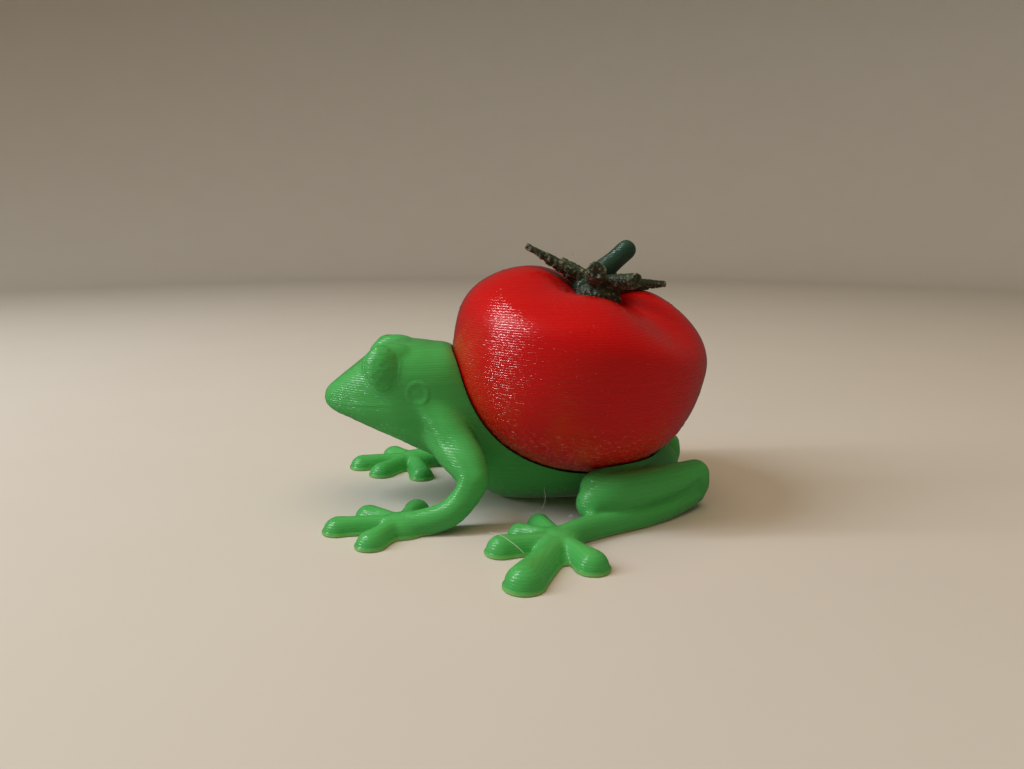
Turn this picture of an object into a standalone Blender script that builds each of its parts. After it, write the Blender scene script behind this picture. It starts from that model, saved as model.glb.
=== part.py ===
"""A small printed frog that carries a whole tomato in a cup in its back.

The toy is three prints: a bright green frog, a red tomato that sits in the frog's
back, and a dark green calyx with its stem in the dimple of the tomato. The frog is
modelled whole, and then parted with thin cuts into the parts a person would name.

Frame: the frog faces -Y, its own left side is +X and +Z is up. The floor is z = 0,
and the origin is at the bottom centre of the whole toy. Sizes are written in
millimetres, and every mesh is made in metres through MM.
"""

import math

import bmesh
import bpy
from mathutils import Matrix, Vector

MM = 0.001
GAP = 0.3

# How finely the prints are drawn.
FROG_VOXEL = 0.32
FROG_TRIANGLES = 6200
CALYX_VOXEL = 0.2
CALYX_TRIANGLES = 1100
FILLET_PASSES = 4
PATH_STEPS = 4
TRUNK_POINTS = 40
LIMB_POINTS = 14
TOMATO_SEGMENTS = 45
TOMATO_RINGS = 20
SEPAL_STEPS = 6

# Trunk of the frog from snout to rump. Each row is one cross-section:
# y, height of its widest line, half width, reach above that line, reach below it.
TRUNK = [
    (-17.05, 9.45, 0.60, 0.60, 0.35),
    (-16.75, 9.35, 1.20, 1.15, 0.70),
    (-16.00, 9.25, 1.85, 1.90, 1.10),
    (-14.80, 9.28, 2.65, 2.80, 1.68),
    (-13.40, 9.36, 3.50, 3.80, 2.41),
    (-11.90, 9.48, 4.20, 4.65, 3.23),
    (-10.40, 9.55, 4.75, 5.05, 4.05),
    (-8.90, 9.50, 5.00, 5.05, 4.80),
    (-7.40, 9.10, 5.05, 5.25, 5.10),
    (-5.90, 8.40, 4.95, 5.70, 5.10),
    (-4.40, 7.20, 4.85, 5.80, 5.20),
    (-2.90, 6.00, 4.80, 6.00, 5.20),
    (-1.40, 4.90, 4.75, 5.50, 4.95),
    (0.60, 4.20, 4.70, 5.00, 4.50),
    (3.60, 3.90, 4.65, 4.80, 4.20),
    (6.60, 3.85, 4.30, 4.60, 4.15),
    (9.60, 3.85, 3.85, 4.00, 4.10),
    (11.80, 3.75, 3.45, 2.70, 3.60),
    (13.30, 3.50, 2.90, 1.95, 2.70),
    (14.40, 3.20, 2.10, 1.35, 1.80),
    (15.30, 2.95, 1.10, 0.80, 0.90),
]
SQUARENESS_ABOVE = 3.0
SQUARENESS_BELOW = 2.0

# Limbs of the left side. Each row is x, y, z and the radius of the round section.
UPPER_ARM = [
    (2.9, -7.1, 7.4, 1.75),
    (4.9, -5.9, 6.1, 1.7),
    (6.8, -4.75, 5.1, 1.5),
    (8.15, -3.85, 4.1, 1.25),
]
FOREARM = [
    (8.15, -3.85, 4.1, 1.25),
    (8.5, -4.65, 2.75, 1.15),
    (8.9, -6.0, 1.5, 1.15),
    (9.0, -7.9, 0.85, 1.15),
    (8.9, -9.6, 0.6, 1.1),
]
# The raised ridge down the outer, rear side of the arm.
ARM_RIDGE = [
    (3.7, -7.7, 9.6, 1.3),
    (4.15, -6.95, 8.8, 1.5),
    (4.75, -6.1, 7.8, 1.55),
    (5.7, -5.1, 6.5, 1.5),
    (7.1, -4.2, 5.15, 1.4),
    (8.15, -3.85, 4.1, 1.25),
]
THIGH = [
    (2.6, 12.2, 3.3, 1.6),
    (5.2, 9.6, 3.4, 1.8),
    (7.4, 6.6, 2.75, 1.65),
]
SHANK = [
    (8.6, 6.1, 1.95, 1.65),
    (8.1, 7.7, 2.45, 1.9),
    (7.3, 10.0, 2.55, 1.85),
    (6.1, 13.0, 2.75, 1.6),
    (4.7, 15.75, 3.0, 1.3),
]
TARSUS = [
    (4.6, 15.5, 1.4, 1.3),
    (6.7, 13.2, 1.0, 1.1),
    (8.6, 10.2, 0.8, 1.05),
    (10.1, 6.9, 0.75, 1.05),
    (11.4, 4.5, 0.75, 1.05),
    (12.6, 2.9, 0.65, 1.0),
]
LIMBS = (UPPER_ARM, FOREARM, ARM_RIDGE, THIGH, SHANK, TARSUS)
HEEL = (4.6, 15.95, 2.3)
HEEL_RADII = (1.2, 1.15, 1.7)

# Palms, and the toes that run from a palm to a round pad. Each toe is
# pad x, pad y, pad radius, stalk radius. A low web joins the outer hind toes.
HAND_PALM = (8.8, -9.9, 0.15)
HAND_PALM_RADII = (1.9, 2.0, 1.45)
HAND_TOES = [
    (8.5, -15.1, 1.25, 0.85),
    (11.6, -12.1, 1.25, 0.90),
    (5.9, -12.9, 1.20, 0.85),
    (4.7, -8.9, 1.15, 0.90),
]
FOOT_PALM = (12.9, 2.6, 0.15)
FOOT_PALM_RADII = (2.1, 1.9, 1.45)
FOOT_WEB = (14.4, 2.4, 0.1)
FOOT_WEB_RADII = (1.9, 1.5, 0.6)
FOOT_TOES = [
    (13.6, -2.0, 1.25, 1.00),
    (19.3, -0.7, 1.50, 1.28),
    (16.9, 4.5, 1.30, 0.95),
    (10.9, -0.3, 1.10, 0.90),
    (8.9, 1.4, 1.05, 0.85),
]
HAND_PAD_RISE = 0.92
FOOT_PAD_RISE = 1.05
# Sections of a toe: share of the way to the pad, share of the way from the
# stalk's half width to the pad's, and the same share for the height of its ridge.
TOE_Z = 0.15
TOE_RIDGE = 1.25
TOE_SECTIONS = [
    (0.0, 0.3, 0.1),
    (0.35, 0.0, 0.0),
    (0.65, 0.1, 0.25),
    (0.85, 0.5, 0.75),
    (1.0, 0.85, 0.95),
]

# Eye and eardrum of the left side.
EYE = (3.8, -11.6, 12.8)
EYE_RADII = (1.15, 1.5, 1.9)
EYE_TILT = math.radians(18.0)
BROW = (2.7, -10.8, 12.75)
BROW_RADII = (1.4, 2.6, 1.95)
EARDRUM = (4.55, -8.55, 10.77)
EARDRUM_RADIUS = 0.98
EARDRUM_DISH_RADIUS = 0.68
EARDRUM_DISH_DEPTH = 0.18
EARDRUM_HALF_DEPTH = 0.55

# Tomato: a flattened, four-lobed fruit whose axis leans back towards the rump. The
# ribs are deepest on one side and fade out round to the other.
TOMATO_CENTRE = (0.0, 6.03, 13.95)
TOMATO_LEAN = math.radians(12.8)
TOMATO_RADIUS = 11.47
TOMATO_RISE = 7.15
TOMATO_DROP = 11.25
TOMATO_SIDE_POWER = 0.93
TOMATO_END_POWER = 0.89
DIMPLE_DEPTH = 2.7
DIMPLE_RADIUS = 3.5
DIMPLE_SHIFT = (0.9, -0.3)
LOBES = 4
LOBE_TURN = math.radians(43.0)
RIBBED_SIDE = math.radians(88.0)
RIB_FADE = 0.35
LOBE_DEPTH = 0.09
LOBE_DROP = 2.6
LOW_SIDE_TURN = math.radians(5.0)
LOW_SIDE_DROP = 3.0

# Calyx and stem in the tomato's own frame, whose z is the fruit's axis.
CALYX_COLLAR = (0.2, 0.4, 4.75)
CALYX_COLLAR_RADII = (2.2, 2.15, 1.25)
# Sepals: turn round the axis in degrees from +X, reach, height of the tip,
# half width and half thickness at the tip. The two near ones end blunt.
SEPALS = [
    (-91.0, 6.85, 7.6, 0.30, 0.25),
    (-136.0, 4.3, 7.0, 0.30, 0.30),
    (-14.0, 3.4, 7.0, 0.72, 0.72),
    (42.0, 4.2, 6.8, 0.72, 0.68),
    (91.0, 6.2, 7.0, 0.30, 0.30),
    (150.0, 4.4, 6.9, 0.30, 0.30),
]
SEPAL_HALF_WIDTH = 0.95
SEPAL_HALF_THICKNESS = 0.85
SEPAL_ROOT_OUT = 0.6
SEPAL_ROOT_Z = 5.75
SEPAL_ARCH = 0.1
STEM = [
    (0.0, -0.85, 5.25, 1.2),
    (0.0, 0.05, 6.5, 1.08),
    (0.0, 1.1, 7.95, 0.9),
    (0.0, 1.95, 9.15, 0.9),
]

# Thin cuts between the named parts, left side: centre, the way the plate faces,
# half width across and half height. The neck's plate crosses the middle.
NECK_CUT = ((0.0, -7.8, 9.55), (0.0, -0.938, 0.347), 5.6, 6.4)
SIDE_CUTS = [
    ((5.15, -5.7, 7.4), (0.97, 0.0, -0.24), 3.3, 4.3),
    ((8.1, -4.6, 3.6), (0.46, -0.34, -0.82), 2.6, 2.6),
    ((9.0, -7.9, 1.2), (0.05, -1.0, -0.1), 2.3, 2.3),
    ((3.85, 9.9, 3.0), (0.986, 0.16, 0.0), 4.2, 3.9),
    ((11.1, 4.7, 1.0), (0.48, -0.88, 0.0), 2.3, 2.3),
]
# Bent cuts along the folded hind leg: centre of the plate, and half of its width.
FOLD_CUT = [
    ((7.30, 3.4, 3.0), (0.0, 0.0, 3.0)),
    ((6.95, 6.5, 3.0), (0.0, 0.0, 3.0)),
    ((6.20, 9.5, 3.0), (0.0, 0.0, 3.0)),
    ((4.95, 12.3, 3.0), (0.0, 0.0, 3.0)),
    ((3.95, 14.0, 3.0), (0.0, 0.0, 3.0)),
    ((3.30, 15.2, 3.0), (0.0, 0.0, 3.0)),
    ((3.00, 16.8, 3.0), (0.0, 0.0, 3.0)),
]
TARSUS_CUT = [
    ((9.75, 3.8, 1.25), (1.02, 0.0, 1.23)),
    ((9.60, 6.7, 1.17), (1.02, 0.0, 1.23)),
    ((8.27, 10.0, 1.27), (1.30, 0.0, 0.97)),
    ((6.60, 13.0, 1.56), (1.65, 0.0, 0.66)),
    ((4.80, 15.3, 2.15), (2.10, 0.0, 0.10)),
    ((3.70, 17.6, 2.25), (2.10, 0.0, 0.0)),
]

# A point inside each named part of the frog, left side where there are two.
MIDDLE_PARTS = {
    "head": (0.0, -11.0, 10.0),
    "torso": (0.0, 3.0, 3.0),
}
SIDE_PARTS = {
    "upper_arm": (6.7, -5.1, 6.2),
    "forearm": (8.7, -6.1, 2.4),
    "hand": (8.3, -12.0, 0.8),
    "thigh": (5.2, 9.2, 3.3),
    "shank": (7.2, 10.0, 3.0),
    "tarsus": (8.0, 10.4, 1.1),
    "foot": (13.6, 1.3, 0.8),
}


def main():
    """Build the toy and leave one named object for each part."""
    clear_scene()
    green = plastic("green_pla", (0.055, 0.36, 0.065))
    red = plastic("red_pla", (0.56, 0.012, 0.012))
    dark_green = plastic("dark_green_pla", (0.018, 0.055, 0.036))

    frog = whole_frog()
    cut(frog, tomato(GAP))
    for side in (1, -1):
        cut(frog, eye(side, GAP))
        cut(frog, plug(side, EARDRUM_RADIUS + GAP, EARDRUM_HALF_DEPTH + GAP))
    for cutter in part_lines():
        cut(frog, cutter)
    part_frog(frog, green)

    for side, word in ((1, "left"), (-1, "right")):
        finish(eye(side, 0.0), "eye_" + word, green)
        finish(eardrum(side), "eardrum_" + word, green)
    finish(tomato(0.0), "tomato", red)
    finish(calyx(), "calyx", dark_green)
    finish(stem(), "stem", dark_green)


def clear_scene():
    """Remove every object that the new file starts with."""
    for item in list(bpy.data.objects):
        bpy.data.objects.remove(item)


def plastic(name, colour):
    """Printed plastic: one plain colour, satin, not metallic."""
    material = bpy.data.materials.new(name)
    material.use_nodes = True
    shader = material.node_tree.nodes["Principled BSDF"]
    shader.inputs["Base Color"].default_value = (*colour, 1.0)
    shader.inputs["Roughness"].default_value = 0.45
    shader.inputs["Metallic"].default_value = 0.0
    return material


def mirrored(point, side):
    """A point of the left side, or its mirror image when side is -1."""
    return Vector((point[0] * side, point[1], point[2]))


def grown(radii, extra):
    """The same radii, each a little larger."""
    return [radius + extra for radius in radii]


def smooth_rows(rows, steps=PATH_STEPS):
    """Pass one smooth curve through rows of numbers, with steps points to a span."""
    padded = [rows[0], *rows, rows[-1]]
    result = []
    for index in range(1, len(padded) - 2):
        nearby = padded[index - 1:index + 3]
        for step in range(steps):
            t = step / steps
            result.append([curve_value(values, t) for values in zip(*nearby)])
    result.append(list(rows[-1]))
    return result


def curve_value(values, t):
    """A value between the middle two of four, on the smooth curve through them."""
    a, b, c, d = values
    linear = (c - a) * t
    square = (2 * a - 5 * b + 4 * c - d) * t ** 2
    cube = (3 * b - a - 3 * c + d) * t ** 3
    return 0.5 * (2 * b + linear + square + cube)


def add_object(name, bm):
    """Put a shape drawn in millimetres into the scene as an object in metres."""
    bmesh.ops.recalc_face_normals(bm, faces=bm.faces)
    bmesh.ops.scale(bm, vec=(MM, MM, MM), verts=bm.verts)
    mesh = bpy.data.meshes.new(name)
    bm.to_mesh(mesh)
    bm.free()
    item = bpy.data.objects.new(name, mesh)
    bpy.context.scene.collection.objects.link(item)
    return item


def apply_modifiers(item):
    """Replace an object's mesh by what its modifiers make of it."""
    bpy.context.view_layer.update()
    graph = bpy.context.evaluated_depsgraph_get()
    mesh = bpy.data.meshes.new_from_object(item.evaluated_get(graph))
    item.modifiers.clear()
    item.data = mesh


def cut(item, cutter):
    """Cut one closed object with another, and drop the cutter."""
    boolean = item.modifiers.new("cut", "BOOLEAN")
    boolean.operation = "DIFFERENCE"
    boolean.solver = "EXACT"
    boolean.object = cutter
    apply_modifiers(item)
    bpy.data.objects.remove(cutter)


def one_skin(item, voxel):
    """Fuse an object's crossing bodies into one closed skin with rounded joins."""
    remesh = item.modifiers.new("one skin", "REMESH")
    remesh.mode = "VOXEL"
    remesh.voxel_size = voxel * MM
    fillets = item.modifiers.new("fillets", "SMOOTH")
    fillets.factor = 0.5
    fillets.iterations = FILLET_PASSES
    apply_modifiers(item)


def thin_out(item, triangles):
    """Describe the same surface with about the given number of triangles."""
    fewer = item.modifiers.new("fewer faces", "DECIMATE")
    corners = sum(len(face.vertices) - 2 for face in item.data.polygons)
    fewer.ratio = triangles / corners
    fewer.use_collapse_triangulate = True
    apply_modifiers(item)


def finish(item, name, material):
    """Give a finished part its name, its material and smooth shading."""
    item.name = name
    item.data.name = name
    item.data.materials.clear()
    item.data.materials.append(material)
    item.data.shade_smooth()
    item.data.set_sharp_from_angle(angle=math.radians(40.0))


def loft(bm, rings):
    """Skin a row of equal rings of points and close both ends with a flat face."""
    loops = [[bm.verts.new(point) for point in ring] for ring in rings]
    count = len(loops[0])
    for near, far in zip(loops, loops[1:]):
        for index in range(count):
            after = (index + 1) % count
            bm.faces.new((near[index], near[after], far[after], far[index]))
    bm.faces.new(loops[0])
    bm.faces.new(loops[-1])


def add_ball(bm, centre, radii, segments=18, rings=12):
    """Add a ball, stretched to three radii."""
    place = Matrix.Translation(centre) @ Matrix.Diagonal((*radii, 1.0))
    bmesh.ops.create_uvsphere(
        bm, u_segments=segments, v_segments=rings, radius=1.0, matrix=place)


def ball(centre, radii):
    """A stretched ball as an object of its own."""
    bm = bmesh.new()
    add_ball(bm, centre, radii, 20, 12)
    return add_object("ball", bm)


def eye(side, extra):
    """An eye dome that faces out and a little up, or the socket grown by a gap."""
    bm = bmesh.new()
    add_ball(bm, Vector(), grown(EYE_RADII, extra), 20, 12)
    tilt = Matrix.Rotation(-EYE_TILT * side, 4, "Y")
    bm.transform(Matrix.Translation(mirrored(EYE, side)) @ tilt)
    return add_object("eye", bm)


def add_limb(bm, stations, side=1):
    """Add a round tube of changing radius, with domed ends, along a smooth path."""
    rows = smooth_rows(stations)
    centres = [mirrored(row, side) for row in rows]
    first, last = centres[0], centres[-1]
    lead_in = (first - centres[1]).normalized()
    lead_out = (last - centres[-2]).normalized()
    sections = [(place, -lead_in, size) for place, size in
                reversed(dome(first, lead_in, rows[0][3]))]
    for index, row in enumerate(rows):
        behind = centres[max(index - 1, 0)]
        ahead = centres[min(index + 1, len(rows) - 1)]
        sections.append((centres[index], (ahead - behind).normalized(), row[3]))
    sections += [(place, lead_out, size) for place, size in
                 dome(last, lead_out, rows[-1][3])]

    across = sections[0][1].orthogonal().normalized()
    rings = []
    for centre, along, radius in sections:
        across = (across - along * across.dot(along)).normalized()
        rings.append(circle(centre, across, along.cross(across), radius))
    loft(bm, rings)


def dome(centre, outward, radius):
    """Centres and radii of the rings that close a tube with half a ball."""
    angles = [math.radians(degrees) for degrees in (30.0, 55.0, 78.0)]
    return [(centre + outward * radius * math.sin(angle), radius * math.cos(angle))
            for angle in angles]


def circle(centre, across, upward, radius):
    """Points round a circle that spans two directions."""
    points = []
    for index in range(LIMB_POINTS):
        angle = 2 * math.pi * index / LIMB_POINTS
        points.append(centre + radius * (math.cos(angle) * across
                                         + math.sin(angle) * upward))
    return points


def trunk_ring(row):
    """One cross-section of the trunk: widest at the lip line, narrower at the chin."""
    y, middle, width, above, below = row
    points = []
    for index in range(TRUNK_POINTS):
        angle = 2 * math.pi * index / TRUNK_POINTS
        c, s = math.cos(angle), math.sin(angle)
        reach = above if s > 0 else below
        power = 2 / (SQUARENESS_ABOVE if s > 0 else SQUARENESS_BELOW)
        x = width * math.copysign(abs(c) ** power, c)
        z = middle + reach * math.copysign(abs(s) ** power, s)
        points.append((x, y, z))
    return points


def add_toes(bm, palm, palm_radii, toes, pad_rise, side):
    """Add a domed palm and its toes, each a ridge that widens into a round pad."""
    root = mirrored((palm[0], palm[1], TOE_Z), side)
    add_ball(bm, root, palm_radii)
    for x, y, pad, stalk in toes:
        tip = mirrored((x, y, TOE_Z), side)
        along = (tip - root).normalized()
        aside = Vector((-along.y, along.x, 0.0))
        rings = []
        for share, flare, lift in TOE_SECTIONS:
            width = stalk + (pad - stalk) * flare
            height = TOE_RIDGE + (pad * pad_rise - TOE_RIDGE) * lift
            upward = Vector((0.0, 0.0, height))
            rings.append(circle(root.lerp(tip, share), aside * width, upward, 1.0))
        loft(bm, rings)
        add_ball(bm, tip, (pad, pad, pad * pad_rise))


def whole_frog():
    """The green print in one closed piece, flat where it stands on the floor."""
    bm = bmesh.new()
    loft(bm, [trunk_ring(row) for row in smooth_rows(TRUNK)])
    for side in (1, -1):
        for limb in LIMBS:
            add_limb(bm, limb, side)
        add_ball(bm, mirrored(FOOT_WEB, side), FOOT_WEB_RADII)
        add_ball(bm, mirrored(HEEL, side), HEEL_RADII)
        add_ball(bm, mirrored(BROW, side), BROW_RADII)
        add_toes(bm, HAND_PALM, HAND_PALM_RADII, HAND_TOES, HAND_PAD_RISE, side)
        add_toes(bm, FOOT_PALM, FOOT_PALM_RADII, FOOT_TOES, FOOT_PAD_RISE, side)
    frog = add_object("frog", bm)
    one_skin(frog, FROG_VOXEL)
    thin_out(frog, FROG_TRIANGLES)

    below = bmesh.new()
    bmesh.ops.create_cube(below, size=60.0, matrix=Matrix.Translation((0, 0, -30)))
    cut(frog, add_object("below_floor", below))
    return frog


def tomato_frame():
    """The tomato's own frame: its centre, leaned back."""
    return Matrix.Translation(TOMATO_CENTRE) @ Matrix.Rotation(-TOMATO_LEAN, 4, "X")


def tomato(extra):
    """The tomato, or the same shape grown by a gap for the cup that holds it."""
    bm = bmesh.new()
    rings = []
    for ring_index in range(1, TOMATO_RINGS):
        down = math.pi * ring_index / TOMATO_RINGS
        rings.append([tomato_point(down, 2 * math.pi * index / TOMATO_SEGMENTS, extra)
                      for index in range(TOMATO_SEGMENTS)])
    loft(bm, rings)
    bm.transform(tomato_frame())
    return add_object("tomato", bm)


def tomato_point(down, around, extra):
    """A point of the tomato's skin: down from the stem end, around its axis."""
    rib = 0.5 + 0.5 * math.cos(LOBES * (around - LOBE_TURN))
    rib *= 1.0 - RIB_FADE * (1.0 - math.cos(around - RIBBED_SIDE))
    low_side = (0.5 + 0.5 * math.cos(around - LOW_SIDE_TURN)) ** 2
    ribbed = math.sin(down) * (0.5 + 0.5 * math.cos(down)) ** 2
    radius = (TOMATO_RADIUS + extra) * math.sin(down) ** TOMATO_SIDE_POWER
    radius *= 1.0 - LOBE_DEPTH * ribbed * rib
    above = down < math.pi / 2
    reach = TOMATO_RISE if above else -TOMATO_DROP
    height = (reach + math.copysign(extra, reach)) * abs(math.cos(down)) ** TOMATO_END_POWER
    shoulder = math.sin(down) * max(math.cos(down), 0.0) ** 1.5
    height -= shoulder * (LOBE_DROP * rib + LOW_SIDE_DROP * low_side)
    x, y = radius * math.cos(around), radius * math.sin(around)
    if above:
        out = math.hypot(x - DIMPLE_SHIFT[0], y - DIMPLE_SHIFT[1])
        height -= DIMPLE_DEPTH * math.exp(-(out / DIMPLE_RADIUS) ** 2)
    return Vector((x, y, height))


def sepal_rings(turn, reach, tip_height, tip_width, tip_thickness):
    """Cross-sections of one sepal, from its root out to its tip."""
    out = Vector((math.cos(turn), math.sin(turn), 0.0))
    aside = Vector((-out.y, out.x, 0.0))
    rings = []
    for step in range(SEPAL_STEPS + 1):
        t = step / SEPAL_STEPS
        width = SEPAL_HALF_WIDTH + (tip_width - SEPAL_HALF_WIDTH) * t ** 1.5
        depth = SEPAL_HALF_THICKNESS + (tip_thickness - SEPAL_HALF_THICKNESS) * t
        height = SEPAL_ROOT_Z + (tip_height - SEPAL_ROOT_Z) * t ** 1.3
        height += SEPAL_ARCH * math.sin(math.pi * t)
        along = SEPAL_ROOT_OUT + (reach - SEPAL_ROOT_OUT) * t
        centre = out * along + Vector((0.0, 0.0, height))
        rings.append(circle(centre, aside * width, Vector((0.0, 0.0, depth)), 1.0))
    return rings


def calyx():
    """The collar with its sepals, seated in the dimple of the tomato."""
    bm = bmesh.new()
    add_ball(bm, Vector(CALYX_COLLAR), CALYX_COLLAR_RADII)
    for degrees, *sizes in SEPALS:
        loft(bm, sepal_rings(math.radians(degrees), *sizes))
    bm.transform(tomato_frame())
    leaves = add_object("calyx", bm)
    one_skin(leaves, CALYX_VOXEL)
    cut(leaves, tomato(GAP))
    cut(leaves, stem_body(STEM, GAP))
    one_skin(leaves, CALYX_VOXEL)
    keep_largest(leaves)
    thin_out(leaves, CALYX_TRIANGLES)
    return leaves


def stem_body(stations, extra):
    """The leaning stem as a tube, or the hole that it sits in."""
    bm = bmesh.new()
    add_limb(bm, [(*row[:3], row[3] + extra) for row in stations])
    bm.transform(tomato_frame())
    return add_object("stem", bm)


def stem():
    """The stem, with its foot clear of the tomato."""
    stalk = stem_body(STEM, 0.0)
    cut(stalk, tomato(GAP))
    return stalk


def plug(side, radius, half_depth):
    """A short round plug across the side of the head, where the eardrum is."""
    bm = bmesh.new()
    turn = Matrix.Rotation(math.radians(90.0), 4, "Y")
    place = Matrix.Translation(mirrored(EARDRUM, side)) @ turn
    bmesh.ops.create_cone(bm, cap_ends=True, segments=24, radius1=radius,
                          radius2=radius, depth=2 * half_depth, matrix=place)
    return add_object("plug", bm)


def eardrum(side):
    """The eardrum: a round plug with a shallow dish in its outer face."""
    drum = plug(side, EARDRUM_RADIUS, EARDRUM_HALF_DEPTH)
    face = EARDRUM[0] + EARDRUM_HALF_DEPTH
    dish = (EARDRUM_DISH_DEPTH, EARDRUM_DISH_RADIUS, EARDRUM_DISH_RADIUS)
    cut(drum, ball(mirrored((face, *EARDRUM[1:]), side), dish))
    return drum


def add_blade(bm, centres, halves):
    """Add a thin plate through a row of centres, with half its width at each."""
    last = len(centres) - 1
    rings = []
    for index, (centre, half) in enumerate(zip(centres, halves)):
        along = centres[min(index + 1, last)] - centres[max(index - 1, 0)]
        thick = along.cross(half).normalized() * GAP / 2
        rings.append((centre + half + thick, centre - half + thick,
                      centre - half - thick, centre + half - thick))
    loft(bm, rings)


def add_plate(bm, centre, facing, half_width, half_height):
    """Add a flat thin plate that faces one way."""
    facing = facing.normalized()
    across = facing.cross(Vector((0.0, 0.0, 1.0))).normalized()
    half = across.cross(facing) * half_height
    ends = [centre - across * half_width, centre + across * half_width]
    add_blade(bm, ends, [half, half])


def part_lines():
    """The thin cutters between the named parts. None of the plates in one cross."""
    centre, facing, half_width, half_height = NECK_CUT
    neck = bmesh.new()
    add_plate(neck, Vector(centre), Vector(facing), half_width, half_height)
    limbs, folds, undersides = bmesh.new(), bmesh.new(), bmesh.new()
    for side in (1, -1):
        for centre, facing, half_width, half_height in SIDE_CUTS:
            add_plate(limbs, mirrored(centre, side), mirrored(facing, side),
                      half_width, half_height)
        for bm, stations in ((folds, FOLD_CUT), (undersides, TARSUS_CUT)):
            add_blade(bm, [mirrored(row[0], side) for row in stations],
                      [mirrored(row[1], side) for row in stations])
    return [add_object("part_line", bm) for bm in (neck, limbs, folds, undersides)]


def keep_largest(item):
    """Drop the loose crumbs that a cut leaves beside the main body."""
    pieces = closed_pieces(item)
    largest = max(pieces, key=lambda piece: len(piece.verts))
    largest.to_mesh(item.data)


def part_frog(frog, material):
    """Split the cut frog into its closed pieces and name each after its part."""
    seeds = {name: Vector(point) for name, point in MIDDLE_PARTS.items()}
    for side, word in ((1, "left"), (-1, "right")):
        for name, point in SIDE_PARTS.items():
            seeds[name + "_" + word] = mirrored(point, side)
    largest = {}
    for piece in closed_pieces(frog):
        middle = sum((v.co for v in piece.verts), Vector()) / len(piece.verts) / MM
        name = min(seeds, key=lambda word: (seeds[word] - middle).length)
        kept = largest.get(name)
        if kept is None or len(piece.verts) > len(kept.verts):
            largest[name] = piece
    bpy.data.objects.remove(frog)
    for name, piece in sorted(largest.items()):
        mesh = bpy.data.meshes.new(name)
        piece.to_mesh(mesh)
        item = bpy.data.objects.new(name, mesh)
        bpy.context.scene.collection.objects.link(item)
        finish(item, name, material)


def closed_pieces(item):
    """Each connected body of an object's mesh, as a bmesh of its own."""
    whole = bmesh.new()
    whole.from_mesh(item.data)
    left = set(whole.verts)
    pieces = []
    while left:
        reached = {left.pop()}
        frontier = list(reached)
        while frontier:
            for edge in frontier.pop().link_edges:
                for vert in edge.verts:
                    if vert in left:
                        left.remove(vert)
                        reached.add(vert)
                        frontier.append(vert)
        piece = whole.copy()
        piece.verts.ensure_lookup_table()
        indices = {vert.index for vert in reached}
        others = [vert for vert in piece.verts if vert.index not in indices]
        bmesh.ops.delete(piece, geom=others, context="VERTS")
        pieces.append(piece)
    whole.free()
    return pieces


main()
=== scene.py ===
"""A small printed toy frog with a whole tomato in its back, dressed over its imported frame.

The toy is three prints in PLA, each laid down in level layers 0.2 mm thick: the bright
green frog, the red tomato that fills the cup in its back, and the dark green calyx with
its stem. Shapes are drawn in millimetres, in the frame of the solids: the frog faces
-Y, its own left side is +X, +Z is up and the floor is z = 0.
"""

import math

import bmesh
import bpy
import numpy as np
from mathutils import Matrix, Vector


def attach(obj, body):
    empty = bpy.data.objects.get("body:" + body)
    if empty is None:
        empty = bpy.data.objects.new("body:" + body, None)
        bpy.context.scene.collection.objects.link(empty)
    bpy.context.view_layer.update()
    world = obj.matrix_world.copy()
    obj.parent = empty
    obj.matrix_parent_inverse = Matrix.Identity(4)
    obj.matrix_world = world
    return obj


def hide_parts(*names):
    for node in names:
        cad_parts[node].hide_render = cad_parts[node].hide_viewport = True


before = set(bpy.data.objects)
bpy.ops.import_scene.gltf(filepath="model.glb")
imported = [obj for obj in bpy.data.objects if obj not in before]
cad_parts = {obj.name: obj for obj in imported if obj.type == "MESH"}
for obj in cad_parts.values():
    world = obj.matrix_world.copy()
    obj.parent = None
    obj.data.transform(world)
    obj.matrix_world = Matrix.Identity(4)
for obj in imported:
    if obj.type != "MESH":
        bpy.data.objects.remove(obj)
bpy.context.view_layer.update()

MM = 0.001
LAYER = 0.2

# The camera, where it stood for the photograph, in millimetres and degrees.
CAMERA_PLACE = (68.75, -5.07, 25.0)
CAMERA_DOWN = math.radians(12.0)
CAMERA_ASIDE = math.radians(-4.04)
CAMERA_LENS = 27.07
CAMERA_SENSOR = 36.0

# How finely the prints are drawn, in millimetres.
FROG_VOXEL = 0.12
CALYX_VOXEL = 0.09
FROG_FILLETS = 26
CALYX_FILLETS = 2
PATH_STEPS = 8
TRUNK_POINTS = 72
LIMB_POINTS = 28
BALL_RINGS = 26
TOMATO_SEGMENTS = 340
TOMATO_RINGS = 210
SEPAL_STEPS = 18
CUP_SEGMENTS = 120
CUP_RINGS = 80
JOIN_STEPS = 4
THREAD_STEPS = 6
# How far the smoothing moves each point towards its neighbours in one round.
SMOOTHING = 0.5

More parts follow.
